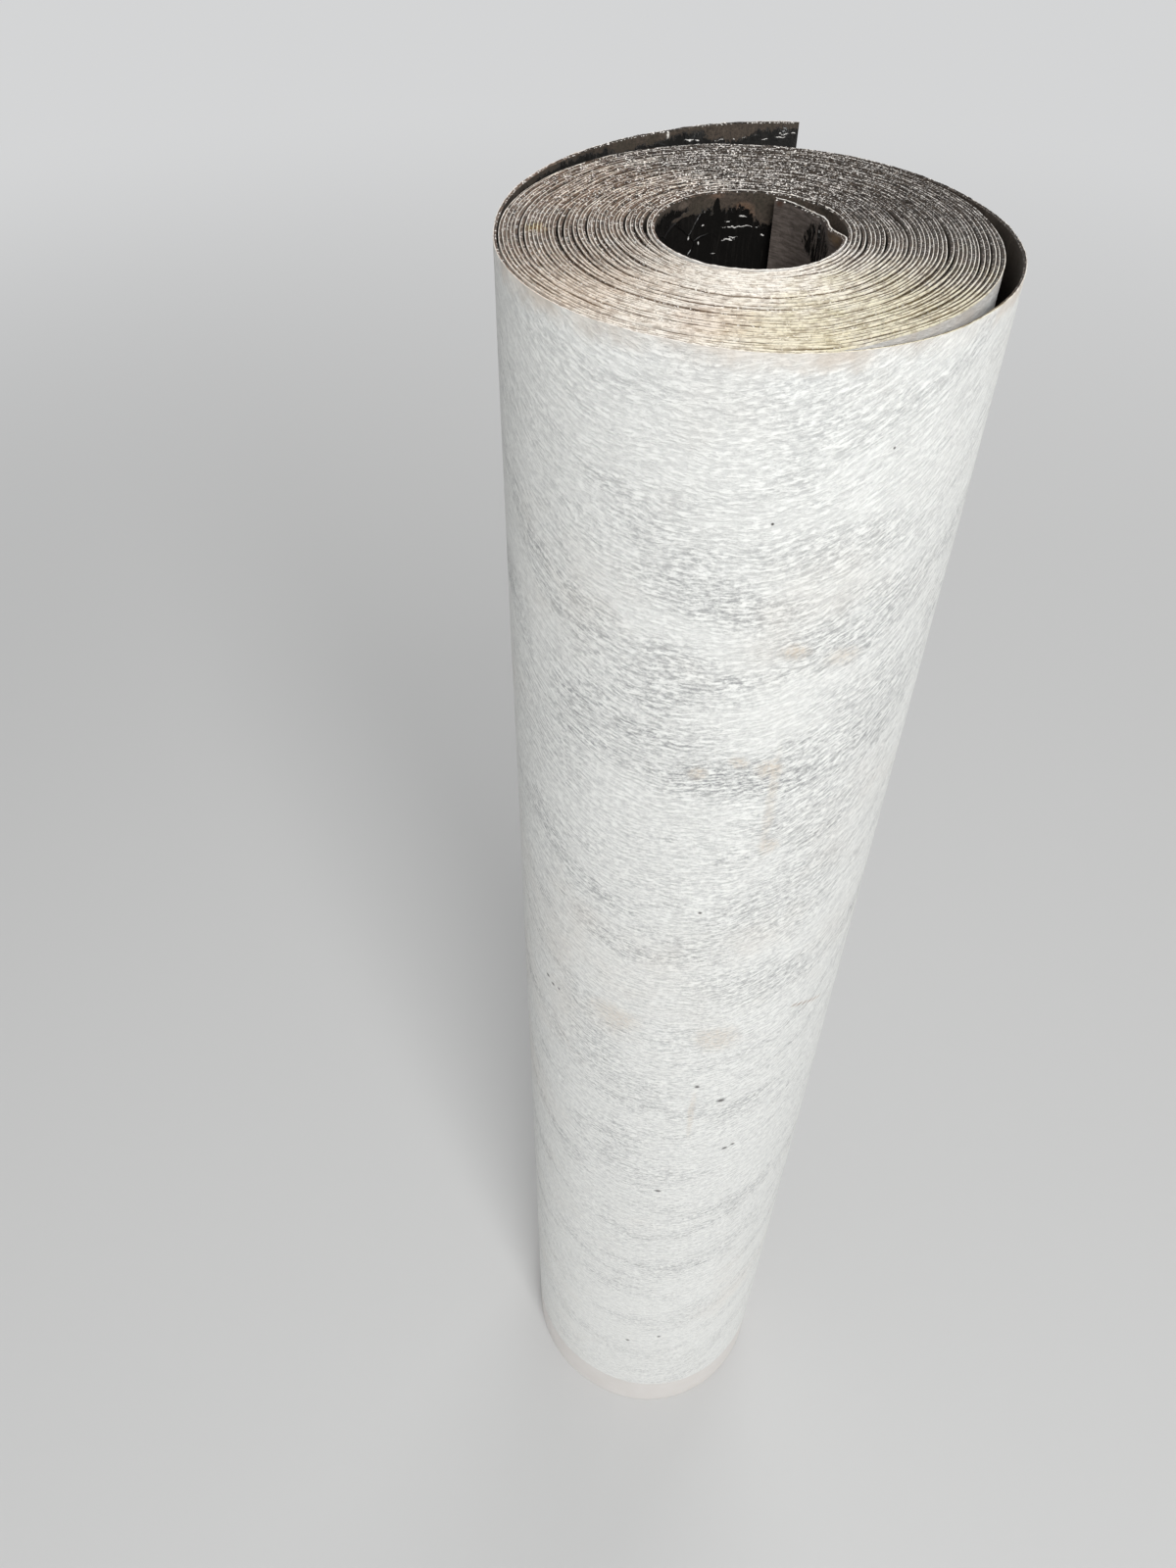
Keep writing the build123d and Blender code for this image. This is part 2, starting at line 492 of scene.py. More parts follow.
def build_sheet(name, plan, rows, bend, film_relief, materials, seed, start_run, profile, wider=0.0):
    """A length of the sheet on its own, full height, with relief on both faces."""
    inner, outer, turn = plan
    count = len(turn)
    tops, feet = end_profiles(inner, outer, turn, seed, profile, wider)
    run = run_length(outer) / 1000 + start_run
    out = (outer - inner) / np.hypot(*(outer - inner).T)[:, None]
    levels = np.asarray(rows)
    columns = []
    for face, z_top, z_foot in ((inner, tops[:, 0, 2], feet[:, -1, 2]),
                                (outer, tops[:, -1, 2], feet[:, 0, 2])):
        z = z_foot[:, None] + (z_top - z_foot)[:, None] * levels
        runs = np.broadcast_to(run[:, None], z.shape)
        move = bend(runs, z)
        if face is inner:
            move = move + film_relief(runs, z)
        xy = face[:, None] + out[:, None] * move[..., None]
        columns.append(np.concatenate([xy, z[..., None]], 2))
    up, down = columns[0], columns[1][:, ::-1]
    shift_top = bend(run, tops[:, 0, 2])[:, None, None] * out[:, None]
    shift_foot = bend(run, 0 * run)[:, None, None] * out[:, None]
    tops[..., :2] += shift_top
    feet[..., :2] += shift_foot
    ring = np.concatenate([up, tops[:, 1:-1], down, feet[:, 1:-1]], 1)
    ring_kinds = ([FILM] * (len(levels) - 1) + [k for x, z, k in profile[1:]]
                  + [FLEECE] * (len(levels) - 1) + [k for x, z, k in FOOT_PROFILE[1:]])
    size = ring.shape[1]
    places = ring.reshape(-1, 3)
    i, n = np.meshgrid(np.arange(count - 1), np.arange(size), indexing="ij")
    i, n = i.ravel(), n.ravel()
    m = (n + 1) % size
    quads = np.stack([i * size + n, (i + 1) * size + n, (i + 1) * size + m, i * size + m], 1)
    kinds = np.array(ring_kinds)[n]
    station = quads // size
    sheet = np.stack([run[station], places[quads, 2] / 1000], -1).reshape(-1, 2)

    # Both faces side by side for baking, the cut edges in a narrow band beside them
    n_up, n_top = len(levels) - 1, len(profile) - 1
    band = np.where(n < n_up, 0, np.where(n < n_up + n_top, 1, np.where(n < 2 * n_up + n_top, 2, 3)))
    level = np.concatenate([levels, np.arange(1, n_top) / n_top, levels[::-1],
                            np.arange(1, len(FOOT_PROFILE) - 1) / (len(FOOT_PROFILE) - 1)])
    first, second = level[n], level[m]
    edge_n = n - np.where(band == 1, n_up, 2 * n_up + n_top)
    edge_size = np.where(band == 1, n_top, len(FOOT_PROFILE) - 1)
    edged = (band == 1) | (band == 3)
    first = np.where(edged, edge_n / edge_size, first)
    second = np.where(edged, (edge_n + 1) / edge_size, second)
    share = (run - run[0]) / (run[-1] - run[0])
    ua, ub = [np.where(edged, within(EDGE_U, s),
                       np.where(band == 0, within(FILM_U, s), within(FLEECE_U, s)))
              for s in (share[i], share[i + 1])]
    va, vb = [np.where(band == 1, within(TOP_V, s),
                       np.where(band == 3, within(FOOT_V, s), within(FACE_V, s)))
              for s in (first, second)]
    bake = np.stack([ua, va, ub, va, ub, vb, ua, vb], 1).reshape(-1, 2)

    faces = [tuple(q) for q in quads.tolist()]
    kinds, sheet, bake = kinds.tolist(), sheet.tolist(), bake.tolist()

    def cap(station, flip):
        """Closes an end of the length: a ladder of quads between its faces, and its two edges."""
        base = station * size
        n_in = list(range(len(levels)))
        n_out = [n_up + n_top + k for k in range(len(levels))][::-1]
        polygons = [[base + n_in[k], base + n_in[k + 1], base + n_out[k + 1], base + n_out[k]]
                    for k in range(len(levels) - 1)]
        polygons.append([base + k for k in range(n_up, n_up + n_top + 1)])
        polygons.append([base + k % size for k in range(2 * n_up + n_top, size + 1)])
        for polygon in polygons:
            polygon = polygon if flip else polygon[::-1]
            faces.append(tuple(polygon))
            kinds.append(EDGE)
            for c in polygon:
                sheet.append((run[station], places[c, 2] / 1000))
                bake.append((within(CAP_U, c % size > n_up),
                             within(FACE_V, places[c, 2] / SHEET_WIDTH)))

    cap(0, False)
    cap(count - 1, True)
    return new_mesh(name, places, faces, kinds, materials, sheet, bake)


# Materials

class Shader:
    """The nodes of a material or a world, written as calls that return sockets."""

    def __init__(self, owner):
        self.owner = owner
        owner.use_nodes = True
        self.tree = owner.node_tree
        self.tree.nodes.clear()

    def node(self, kind, values=(), **settings):
        made = self.tree.nodes.new(kind)
        for key, value in settings.items():
            setattr(made, key, value)
        for key, value in dict(values).items():
            self.put(made.inputs[key], value)
        return made

    def put(self, socket, value):
        if isinstance(value, bpy.types.NodeSocket):
            self.tree.links.new(value, socket)
        elif value is not None:
            socket.default_value = value

    def sheet(self):
        return self.node("ShaderNodeUVMap", uv_map="sheet").outputs["UV"]

    def solid(self):
        return self.node("ShaderNodeTexCoord").outputs["Object"]

    def place(self, vector, scale=(1, 1, 1), turn=0.0, shift=(0, 0, 0)):
        values = {"Vector": vector, "Scale": scale, "Rotation": (0, 0, radians(turn)), "Location": shift}
        return self.node("ShaderNodeMapping", values).outputs[0]

    def noise(self, vector, scale=1.0, detail=2.0, rough=0.5, bend=0.0):
        values = {"Vector": vector, "Scale": scale, "Detail": detail, "Roughness": rough,
                  "Distortion": bend}
        return self.node("ShaderNodeTexNoise", values).outputs[0]

    def cells(self, vector, scale, feature="F1", spread=1.0):
        values = {"Vector": vector, "Scale": scale, "Randomness": spread}
        return self.node("ShaderNodeTexVoronoi", values, feature=feature).outputs["Distance"]

    def math(self, what, a, b=None, c=None):
        return self.node("ShaderNodeMath", {0: a, 1: b, 2: c}, operation=what).outputs[0]

    def times(self, a, b):
        return self.math("MULTIPLY", a, b)

    def plus(self, value, other, share):
        """value with a share of another added to it."""
        return self.math("ADD", value, self.times(other, share))

    def vector(self, what, a, b):
        return self.node("ShaderNodeVectorMath", {0: a, 1: b}, operation=what).outputs[0]

    def length(self, vector):
        return self.node("ShaderNodeVectorMath", {0: vector}, operation="LENGTH").outputs["Value"]

    def ramp(self, value, low, high, to_low=0.0, to_high=1.0, **settings):
        """value's straight way from low to high, held at both ends."""
        values = {"Value": value, "From Min": low, "From Max": high,
                  "To Min": to_low, "To Max": to_high}
        return self.node("ShaderNodeMapRange", values, **settings).outputs[0]

    def span(self, value, low, high, to_low=0.0, to_high=1.0):
        """value's smooth way from low to high."""
        return self.ramp(value, low, high, to_low, to_high, interpolation_type="SMOOTHSTEP")

    def mix(self, share, a, b):
        a, b = [(*v, 1) if isinstance(v, tuple) else v for v in (a, b)]
        return self.node("ShaderNodeMix", {0: share, 6: a, 7: b}, data_type="RGBA").outputs[2]

    def split(self, vector):
        return self.node("ShaderNodeSeparateXYZ", {0: vector}).outputs

    def bump(self, height, distance, strength=1.0, normal=None):
        values = {"Height": height, "Distance": distance, "Strength": strength, "Normal": normal}
        return self.node("ShaderNodeBump", values).outputs[0]

    def spot(self, vector, place, size, ragged):
        """1 at a place of the sheet, fading out over an uneven edge."""
        near = self.vector("SUBTRACT", vector, (*place, 0))
        near = self.vector("MULTIPLY", near, (1 / size[0], 1 / size[1], 0))
        return self.span(self.plus(self.length(near), ragged, 1.1), 0.3, 1.45, 1.0, 0.0)

    def done(self, color, rough, normal, **constants):
        values = {"Base Color": color, "Roughness": rough, "Normal": normal}
        shader = self.node("ShaderNodeBsdfPrincipled", values)
        for key, value in constants.items():
            shader.inputs[key.replace("_", " ")].default_value = value
        self.node("ShaderNodeOutputMaterial", {"Surface": shader.outputs[0]})
        return self.owner


def new_shader(name):
    return Shader(bpy.data.materials.new(name))


# The fleece's patches lie lowest at LEAN_ANGLE of the wall and highest opposite it, LEAN metres
# below and above their mean.
LEAN_ANGLE, LEAN = 262.0, 0.068
LIGHT_FLEECE = (0.825, 0.83, 0.805)
GREY_FLEECE = (0.27, 0.275, 0.28)
SELVEDGE_TONE = (0.60, 0.565, 0.535)
BEIGE = (0.57, 0.47, 0.36)
RIM_DIRT = (0.56, 0.48, 0.40)
DARK_MARKS = {"speck": (0.03, 0.025, 0.02), "scratch": (0.30, 0.19, 0.12)}
TOP = SHEET_WIDTH / 1000


def ragged_noise(s, vector, scale=60.0):
    return s.math("SUBTRACT", s.noise(vector, scale, 4.0, 0.65), 0.5)


def waved(s, vector, scale, much):
    """The vector pushed about by a slower noise, so that lines drawn along it sweep and cross."""
    drift = s.node("ShaderNodeTexNoise", {"Vector": vector, "Scale": scale, "Detail": 2.0})
    drift = s.vector("SUBTRACT", drift.outputs["Color"], (0.5, 0.5, 0.5))
    return s.vector("ADD", vector, s.vector("MULTIPLY", drift, much))


def fleece_material(name, marks=(), middle=0.0, lean=0.0):
    """Matted fibres that run round the roll, thin in places, with the stains of its storage.

    They lean: they lie lowest at the middle, a place along the sheet, and highest opposite it.
    """
    s = new_shader(name)
    uv = s.sheet()
    wavy = waved(s, uv, 24.0, (0.002, 0.011, 0))
    along, height, _ = s.split(wavy)
    turned = s.math("DIVIDE", s.math("SUBTRACT", along, middle), COIL_RADIUS / 1000)
    level = s.plus(height, s.math("COSINE", turned), lean)
    swept = s.node("ShaderNodeCombineXYZ", {0: along, 1: level}).outputs[0]
    streaks = []
    for turn, scale, shift in ((0, (75, 560, 1), 0), (11, (240, 760, 1), 5), (-12, (280, 860, 1), 9)):
        line = s.place(swept, scale, turn, (shift, shift, 0))
        streaks.append(s.noise(line, 1.0, 4.0, 0.75))
    crossed = s.noise(s.place(swept, (320, 760, 1), 34), 1.0, 3.0, 0.75)
    mottle = s.noise(s.place(uv, (400, 430, 1)), 1.0, 4.0, 0.8)
    mat = s.math("ADD", s.math("ADD", streaks[0], streaks[1]), streaks[2])
    mat = s.plus(mat, s.math("ADD", crossed, mottle), 0.6)
    fibre = s.ramp(mat, 1.89, 2.25)
    ragged = ragged_noise(s, wavy, 75.0)
    height = s.split(uv)[1]
    thin = s.span(s.noise(s.place(swept, (10, 30, 1)), 1.0, 5.0, 0.72), 0.44, 0.66)
    thin = s.times(thin, s.span(height, 0.12, 0.30, 0.45, 0.95))
    thin = s.times(thin, s.span(height, 0.88, 0.95, 1.0, 0.55))
    low_down = s.times(s.span(height, 0.18, 0.36), s.span(height, 0.74, 0.86, 1.0, 0.0))
    thin = s.math("MAXIMUM", thin, s.times(low_down, 0.24))
    for place, size, much, tone in marks:
        if tone == "thin":
            thin = s.math("MAXIMUM", thin, s.times(s.spot(wavy, place, size, ragged), much))
    gaps = s.math("SUBTRACT", 1.0, fibre)
    dark = s.times(gaps, s.ramp(thin, 0.0, 1.0, 0.34, 1.0))
    color = s.mix(dark, LIGHT_FLEECE, GREY_FLEECE)
    blush = s.span(s.noise(uv, 7.0, 4.0, 0.65), 0.50, 0.75, 0.0, 0.35)
    color = s.mix(blush, color, (0.70, 0.655, 0.60))
    for place, size, much, tone in marks:
        if tone == "beige":
            stain = s.times(s.spot(wavy, place, size, ragged), much)
            color = s.mix(s.times(stain, s.ramp(mottle, 0.35, 0.6)), color, BEIGE)
    fine = s.times(s.math("SUBTRACT", streaks[1], 0.5), 0.6)
    for place, size, much, tone in marks:
        if tone in DARK_MARKS:
            mark = s.times(s.spot(uv, place, size, fine), much)
            color = s.mix(mark, color, DARK_MARKS[tone])
    dirt = s.span(s.plus(height, ragged, 0.014), TOP - 0.010, TOP - 0.001)
    dirt = s.times(dirt, s.span(s.noise(uv, 20.0, 4.0, 0.65), 0.38, 0.62, 0.15, 0.75))
    color = s.mix(dirt, color, RIM_DIRT)
    band = s.span(s.plus(height, ragged, 0.002),
                  SELVEDGE / 1000 - 0.0008, SELVEDGE / 1000 + 0.0008, 1.0, 0.0)
    plain = s.mix(s.noise(uv, 45.0, 4.0, 0.6), SELVEDGE_TONE, (0.69, 0.67, 0.65))
    color = s.mix(band, color, plain)
    bump = s.times(fibre, s.math("SUBTRACT", 1.0, s.times(band, 0.8)))
    normal = s.bump(bump, 0.00022, 0.9)
    rough = s.span(fibre, 0.0, 1.0, 0.82, 0.95)
    return s.done(color, rough, normal, Sheen_Weight=0.12, Sheen_Roughness=0.5)


def settled(s, at, ragged, color, much):
    """The colour with what has settled on the end of the roll laid over it."""
    for place, size, tone, strength in RIM_TINTS:
        near = s.vector("SUBTRACT", at, place)
        away = s.plus(s.length(near), ragged, size * 1.1)
        tint = s.span(away, size * 0.2, size, strength * much, 0.0)
        laid = s.node("ShaderNodeMix", {0: tint, 6: color, 7: (*tone, 1)}, data_type="RGBA",
                      blend_type="MULTIPLY")
        color = laid.outputs[2]
    return color


def rim_material(name, much_dirt, light, clean_from=None):
    """The fleece where it is cut: frayed, and dirtied by what has settled on the end of the roll.

    It is clean again from a place along the sheet on, if one is given.
    """
    s = new_shader(name)
    uv, at = s.sheet(), s.solid()
    across, back, _ = s.split(at)
    ragged = ragged_noise(s, at, 90.0)
    leaning = s.plus(back, s.math("MINIMUM", across, 0.035), 0.7)
    dirty = s.span(s.plus(leaning, ragged, 0.05), -0.015, 0.045, 0.0, much_dirt)
    if clean_from:
        run = s.split(uv)[0]
        dirty = s.times(dirty, s.span(run, clean_from, clean_from + 0.02, 1.0, 0.2))
    along = s.noise(s.place(uv, (330, 500, 1)), 1.0, 3.0, 0.6)
    fine = s.noise(at, 1250.0, 3.0, 0.7)
    light = s.mix(dirty, light, (1.0, 0.96, 0.91))
    color = s.mix(s.span(along, 0.34, 0.58, 0.75, 0.0), light, (0.46, 0.39, 0.32))
    color = settled(s, at, ragged, color, 0.55)
    specks = s.span(s.plus(fine, dirty, -0.175), 0.30, 0.345, 1.0, 0.0)
    color = s.mix(specks, color, (0.045, 0.035, 0.028))
    normal = s.bump(fine, 0.0003, 0.9)
    return s.done(color, 0.92, normal, Sheen_Weight=0.1)


def edge_material():
    """The cut through the bitumen: black and gritty under the dust, with pale threads in it. It also
    darkens the fleece walls in the gaps between turns, partly as dirt and partly as painted shade.
    """
    s = new_shader("cut_bitumen_and_gap_shade")
    at, uv = s.solid(), s.sheet()
    across, back, _ = s.split(at)
    coarse = s.noise(at, 480.0, 6.0, 0.85)
    fine = s.noise(at, 420.0, 6.0, 0.85)
    ragged = ragged_noise(s, at, 90.0)
    dusty = s.noise(s.place(uv, (30, 160, 1)), 1.0, 3.0, 0.6)
    # The dusty tone is darker towards the right and back of the end, and lighter at the front
    far = s.span(s.plus(s.plus(back, across, 0.6), ragged, 0.05), -0.03, 0.035)
    front = s.plus(s.plus(back, s.math("ABSOLUTE", across), 0.55), ragged, 0.05)
    front = s.span(front, -0.050, -0.010, 1.0, 0.0)
    dust = s.mix(far, (0.170, 0.122, 0.094), (0.050, 0.039, 0.031))
    dust = s.mix(front, dust, (0.35, 0.285, 0.22))
    level = s.plus(coarse, s.math("SUBTRACT", dusty, 0.5), 0.3)
    # The black is a lighter brown at the front, where it also stands as painted shade in the gaps
    # between turns
    deep = s.mix(front, (0.013, 0.010, 0.008), (0.15, 0.115, 0.085))
    tone = s.mix(s.span(level, 0.40, 0.54), deep, dust)
    tone = s.mix(s.span(coarse, 0.58, 0.68), tone, (0.44, 0.36, 0.29))
    tone = settled(s, at, ragged, tone, 1.0)
    grain = s.span(s.cells(at, 900.0), 0.30, 0.40, 1.0, 0.0)
    grain = s.times(grain, s.span(fine, 0.47, 0.53))
    grain = s.times(grain, s.span(s.plus(across, ragged, 0.05), 0.010, 0.060, 1.0, 0.35))
    color = s.mix(grain, tone, (1.0, 0.96, 0.91))
    normal = s.bump(coarse, 0.0005, 0.9)
    normal = s.bump(fine, 0.0002, 0.8, normal)
    return s.done(color, s.span(coarse, 0.3, 0.7, 0.60, 0.92), normal, Specular_IOR_Level=0.2)


def film_material(name, near, far, dust_spots, painted_highlights, stains, tongue=None):
    """The bitumen's glossy film: crinkled and scratched, and dusty down to a ragged line. Its bright
    creases, scratches and chips are painted highlights.

    How deep the dust reaches is given at two places along the sheet. On the tongue, given as
    where it starts and ends, the film is worn matt but for a patch beside the crease.
    """
    s = new_shader(name)
    uv = s.sheet()
    along, height, _ = s.split(uv)
    wavy = waved(s, uv, 60.0, (0.012, 0.012, 0))
    patchy = s.noise(uv, 24.0, 3.0, 0.6)
    fine = s.noise(uv, 1100.0, 3.0, 0.65)
    streaky = s.noise(s.place(uv, (620, 60, 1)), 1.0, 4.0, 0.65)
    brushed = s.noise(s.place(uv, (130, 900, 1), 14), 1.0, 4.0, 0.7)
    grain = s.noise(uv, 800.0, 5.0, 0.8)
    ragged = ragged_noise(s, s.place(uv, (520, 260, 1)), 1.0)
    broad = ragged_noise(s, uv, 60.0)
    edge = s.math("ADD", height, s.span(along, near[0], far[0], near[1] / 1000, far[1] / 1000))
    edge = s.plus(s.plus(edge, ragged, 0.008), broad, 0.008)
    edge = s.plus(edge, s.math("SUBTRACT", grain, 0.5), 0.004)
    for run, z, wide, high, much in dust_spots:
        spot = s.spot(uv, (run, z / 1000), (wide / 1000, high / 1000), broad)
        edge = s.plus(edge, spot, much / 1000)
    dust = s.span(edge, TOP - 0.0006, TOP + 0.0006)
    if tongue:
        start, end = tongue
        worn = s.span(s.plus(along, ragged, 0.010), end - 0.001, end, 1.0, 0.0)
        bare = s.spot(uv, (start + 0.0285, TOP - 0.011), (0.0125, 0.0085), ragged)
        bare = s.times(s.span(bare, 0.3, 0.6), s.span(streaky, 0.42, 0.50))
        low = s.span(height, TOP - 0.16, TOP - 0.05)
        worn = s.times(s.times(worn, low), s.math("SUBTRACT", 1.0, bare))
        kept = s.span(along, end - 0.0005, end)
        dust = s.math("MAXIMUM", s.times(dust, kept), worn)
    clear = s.math("SUBTRACT", 1.0, dust)
    crackle = s.span(s.cells(wavy, 75.0, "DISTANCE_TO_EDGE"), 0.0, 0.03, 1.0, 0.0)
    crackle = s.times(crackle, s.span(patchy, 0.42, 0.6))
    # bright is painted highlight: small chips and the strokes below, laid into the film's colour
    glint_chips = s.span(s.cells(uv, 170.0), 0.09, 0.13, 1.0, 0.0)
    glint_chips = s.times(glint_chips, s.span(s.noise(uv, 60.0), 0.56, 0.62))
    bright = s.times(glint_chips, 0.6)
    frayed = s.times(s.math("SUBTRACT", fine, 0.5), 3.0)
    curled = waved(s, uv, 260.0, (0, 0.0034, 0))
    for run, z, wide, high in painted_highlights:
        place = (run, z / 1000), (wide / 1000, high * 0.6 / 1000)
        highlight = s.spot(curled, *place, frayed)
        bright = s.math("MAXIMUM", bright, s.span(highlight, 0.35, 0.8))
    black = s.mix(s.span(streaky, 0.50, 0.74), (0.008, 0.0075, 0.007), (0.017, 0.0155, 0.014))
    # The painted highlights lighten the film where it isn't dusty
    color = s.mix(s.times(bright, clear), black, (0.72, 0.70, 0.67))
    speckled = s.plus(s.times(grain, 0.85), streaky, 0.15)
    brown = s.mix(s.span(speckled, 0.36, 0.56), (0.016, 0.012, 0.009), (0.066, 0.049, 0.036))
    brown = s.mix(s.span(speckled, 0.56, 0.72), brown, (0.15, 0.12, 0.095))
    brown = s.mix(s.span(broad, -0.02, 0.10, 0.0, 0.45), brown, (0.030, 0.026, 0.016))
    brown = s.mix(s.span(along, 0.60, 0.70, 0.5, 0.0), brown, (0.022, 0.015, 0.010))
    if tongue:
        rubbed = s.mix(s.span(brushed, 0.36, 0.62), (0.060, 0.047, 0.039), (0.135, 0.110, 0.096))
        rubbed = s.mix(s.span(grain, 0.56, 0.70, 0.0, 0.6), rubbed, (0.18, 0.15, 0.13))
        brown = s.mix(worn, brown, rubbed)
    for run, z, wide, high, tone in stains:
        stain = s.spot(uv, (run, z / 1000), (wide / 1000, high / 1000), ragged)
        brown = s.mix(s.times(stain, s.span(grain, 0.36, 0.54, 0.2, 0.9)), brown, tone)
    color = s.mix(dust, color, brown)
    rough = s.plus(s.span(patchy, 0.35, 0.7, 0.10, 0.28), dust, 0.62)
    normal = s.bump(s.times(crackle, clear), 0.0006, 0.8)
    normal = s.bump(s.noise(wavy, 170.0, 3.0, 0.6), 0.0010, 0.6, normal)
    normal = s.bump(s.times(grain, dust), 0.0004, 0.8, normal)
    return s.done(color, rough, normal, Specular_IOR_Level=0.4)


# Where the dust on the film reaches further down (or less far): run along the sheet in metres,
# height, half width, half height, how much further
FLAP_DUST = [
    (0.7059, 994, 9, 6, 4.0), (0.7144, 994, 6, 6, 1.5), (0.690, 996, 8, 5, -1.8),
    (0.7335, 995, 10, 5, -0.8), (0.659, 996, 10, 5, 0.8), (0.615, 994, 42, 9, -1.8),
]
BORE_DUST = [
    (20.2064, 993.6, 1.3, 3.4, -7.0), (20.2264, 991, 5.5, 9, 5.5), (20.1805, 990.9, 3, 0.9, 5.0),
    (20.1856, 992.0, 3.4, 0.9, 6.0), (20.1915, 992.8, 3.0, 1.0, 5.0), (20.1965, 994.0, 3, 3, 2.0),
]
# Painted highlights, bright strokes on the film's creases and scratches: run, height, half width, half
# height
FLAP_PAINTED_HIGHLIGHTS = [
    (0.6895, 994.6, 2.6, 0.5), (0.6932, 994.4, 1.0, 0.6), (0.7050, 993.2, 3.0, 0.4),
    (0.7144, 994.2, 2.4, 0.5), (0.7105, 993.2, 2.0, 0.4), (0.7251, 992.6, 1.5, 0.4),
    (0.7336, 994.8, 1.8, 0.4), (0.7379, 994.9, 1.0, 0.4), (0.7315, 993.6, 2.5, 0.35),
]
BORE_PAINTED_HIGHLIGHTS = [
    (20.2166, 985.9, 7.0, 0.32), (20.2118, 988.0, 1.3, 0.4), (20.2007, 987.8, 0.7, 0.5),
    (20.2121, 980.9, 2.6, 0.3), (20.2146, 981.6, 2.0, 0.3), (20.1937, 983.6, 0.4, 1.6),
    (20.2064, 975.3, 1.2, 0.4), (20.2264, 982.8, 0.7, 0.5), (20.2178, 989.8, 1.6, 0.6),
    (20.1990, 980.5, 0.4, 0.9),
]
# Stains and flecks in the dust: run, height, half width, half height, colour
FLAP_FLECKS = [(0.6784, 998.2, 0.75, 1.9, (0.85, 0.82, 0.76))]
BORE_STAINS = [
    (20.2178, 993.0, 4.0, 2.2, (0.15, 0.090, 0.055)),
    (20.2205, 990.6, 2.0, 1.2, (0.20, 0.13, 0.09)),
    (20.2060, 998.0, 3.0, 1.4, (0.15, 0.095, 0.066)),
    (20.1900, 996.8, 3.0, 1.6, (0.13, 0.10, 0.08)),
    (20.0024, 998.0, 1.6, 1.6, (0.055, 0.020, 0.009)),
    (20.0420, 997.2, 6.0, 2.4, (0.12, 0.075, 0.038)),
]


# What has settled on the top: a place, how far it reaches, its colour and strength
RIM_TINTS = [
    ((0.060, -0.078, TOP), 0.062, (0.72, 0.70, 0.49), 1.0),
    ((0.014, -0.100, TOP), 0.036, (0.80, 0.76, 0.56), 0.9),
    ((-0.012, -0.092, TOP), 0.022, (0.86, 0.74, 0.66), 0.8),
    ((-0.066, -0.066, TOP), 0.055, (0.96, 0.84, 0.75), 1.0),
    ((-0.082, -0.024, TOP), 0.007, (1.0, 0.86, 0.36), 0.9),
    ((-0.060, 0.020, TOP), 0.055, (0.97, 0.86, 0.76), 0.9),
]


# Marks on the fleece: angle and height where they are, half width, half height, strength, kind
MARKS = [
    (297.7, 922, 46, 13, 0.6, "thin"), (315.3, 895, 40, 12, 0.7, "thin"),
    (277.2, 897, 40, 10, 0.8, "thin"), (265.0, 907, 30, 8, 0.7, "thin"),
    (285.5, 806, 60, 16, 1.0, "thin"), (299.0, 880, 34, 14, 0.8, "thin"),
    (252.0, 825, 50, 20, 0.6, "thin"), (226.0, 789, 30, 26, 0.5, "thin"),
    (321.0, 840, 40, 22, 0.7, "thin"), (317.9, 820, 26, 14, 0.9, "thin"),
    (305.0, 778, 40, 20, 0.7, "thin"), (296.2, 711, 44, 26, 0.75, "thin"),
    (308.0, 735, 30, 20, 0.75, "thin"), (244.0, 572, 24, 36, 0.7, "thin"),
    (236.0, 600, 18, 26, 0.65, "thin"), (258.0, 545, 36, 16, 0.6, "thin"),
    (292.9, 650, 46, 22, 0.65, "thin"), (260.0, 866, 30, 12, 0.7, "thin"),
    (240.0, 840, 28, 12, 0.6, "thin"), (240.0, 700, 28, 18, 0.5, "thin"),
    (280.0, 600, 40, 16, 0.5, "thin"), (270.0, 440, 50, 14, 0.55, "thin"),
    (290.0, 300, 50, 12, 0.45, "thin"), (250.0, 250, 40, 12, 0.4, "thin"),
    (290.2, 877, 6, 4, 0.6, "beige"), (288.9, 813, 6, 5, 0.6, "beige"),
    (270.9, 809, 4, 4, 0.6, "beige"), (292.0, 765, 5, 5, 0.5, "beige"),
    (252.0, 609, 14, 12, 0.45, "beige"), (286.2, 603, 13, 12, 0.45, "beige"),
    (303.0, 870, 8, 5, 0.4, "beige"), (281.0, 818, 4, 4, 0.5, "beige"),
    (281.4, 522, 2, 26, 0.4, "beige"), (290.5, 795, 2.5, 30, 0.35, "beige"),
    (280.8, 936.6, 0.60, 0.60, 1.0, "speck"), (304.6, 961.5, 0.55, 0.55, 0.9, "speck"),
    (275.8, 715.4, 1.1, 0.9, 0.9, "speck"), (221.4, 599.9, 1.6, 1.2, 0.9, "speck"),
    (224.4, 596.9, 1.4, 1.1, 0.9, "speck"), (227.8, 598.4, 1.1, 1.0, 0.8, "speck"),
    (282.1, 553.0, 1.6, 1.3, 0.9, "speck"), (291.2, 534.1, 2.6, 1.5, 0.9, "speck"),
    (296.0, 472.0, 1.9, 1.5, 0.9, "speck"), (299.0, 474.2, 1.6, 1.3, 0.9, "speck"),
    (272.8, 418.4, 2.3, 1.3, 0.9, "speck"), (266.3, 140.0, 1.6, 1.8, 0.8, "speck"),
    (281.1, 156.6, 1.6, 1.6, 0.8, "speck"), (313.0, 613.2, 2.6, 0.8, 0.7, "scratch"),
    (315.6, 610.4, 2.8, 0.9, 0.8, "scratch"), (318.4, 607.4, 2.8, 0.8, 0.8, "scratch"),
    (321.3, 604.2, 2.8, 0.9, 0.8, "scratch"), (324.0, 601.3, 2.6, 0.8, 0.7, "scratch"),
    (326.6, 598.4, 2.2, 0.7, 0.6, "scratch"),
]


